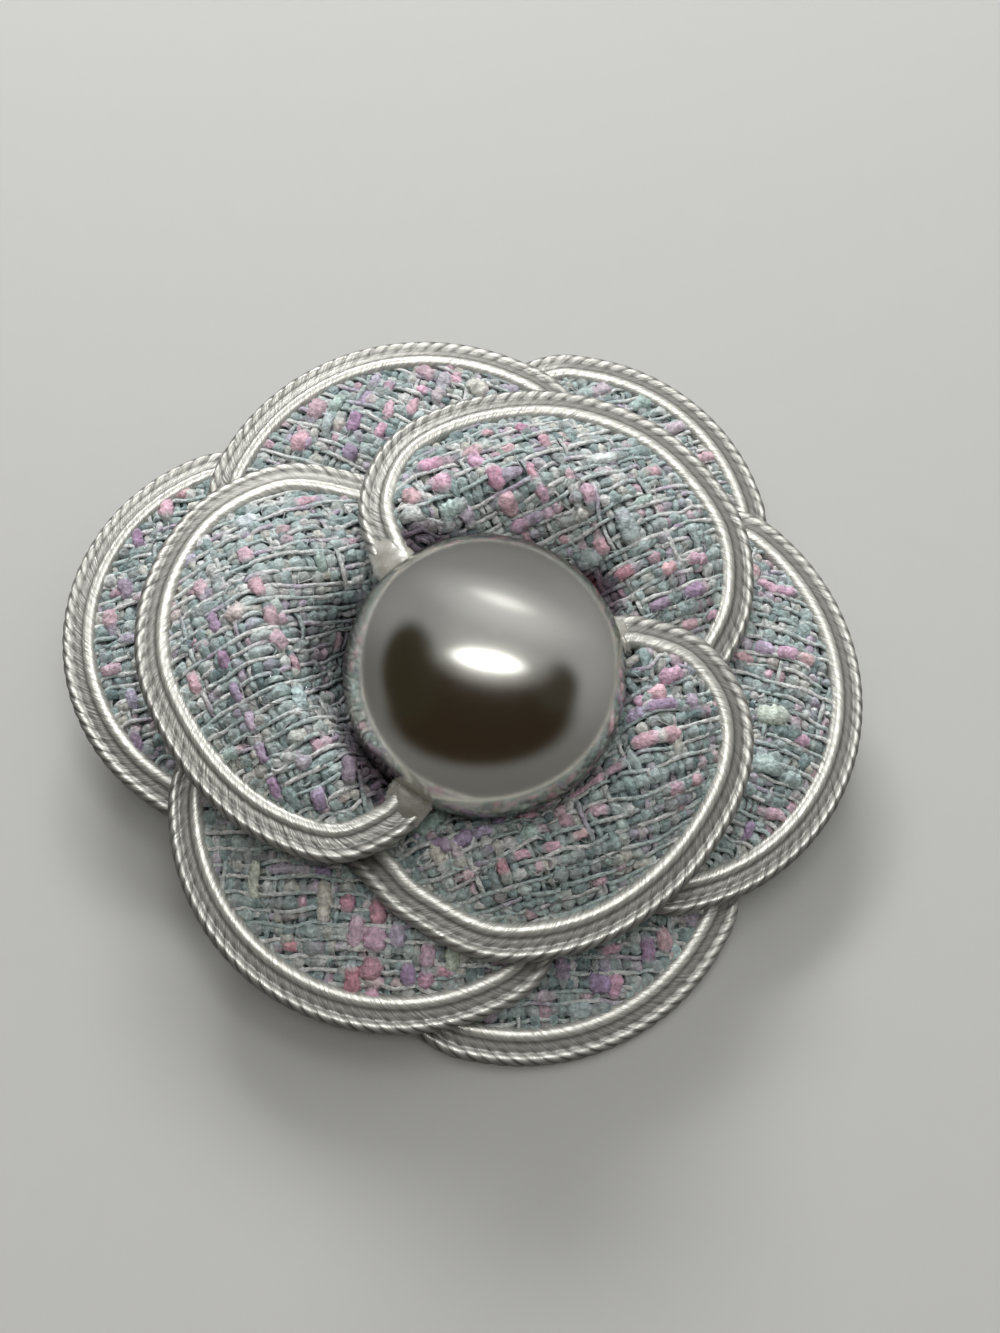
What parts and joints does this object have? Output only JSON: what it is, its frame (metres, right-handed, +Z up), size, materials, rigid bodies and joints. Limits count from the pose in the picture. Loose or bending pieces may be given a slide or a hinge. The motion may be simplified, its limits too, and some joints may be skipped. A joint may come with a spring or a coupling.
{
  "type": "flower brooch",
  "caption": "Layered flower brooch: padded, cupped tweed petals edged with silvery satin braid round a large pearl bead, with a backing disc and a bar pin behind.",
  "frame": {"origin": "middle of the footprint of the whole brooch, on the surface that it lies on", "axes": "+Z up from the surface, +X to the right and +Y away from the viewer as the picture shows it; the brooch's own axis leans forward, off its pin"},
  "size_m": [0.0618, 0.0572, 0.0284],
  "materials": {
    "tweed": "loose woven tweed with slubs",
    "braid": "satin double-rib braid",
    "pearl": "pearl lacquer",
    "backing": "matt",
    "pin_metal": "nickel plated"
  },
  "bodies": {
    "root": {"petal_inner_top": "tweed", "petal_inner_right": "tweed", "petal_inner_left": "tweed", "petal_middle_top": "tweed", "petal_middle_right": "tweed", "petal_middle_left": "tweed", "petal_outer_top": "tweed", "petal_outer_right": "tweed", "petal_outer_left": "tweed", "braid_inner_top": "braid", "braid_inner_right": "braid", "braid_inner_left": "braid", "braid_middle_top": "braid", "braid_middle_right": "braid", "braid_middle_left": "braid", "braid_outer_top": "braid", "braid_outer_right": "braid", "braid_outer_left": "braid", "pearl": "pearl", "backing_disc": "backing", "brooch_pin": "pin_metal"}
  },
  "joints": []
}
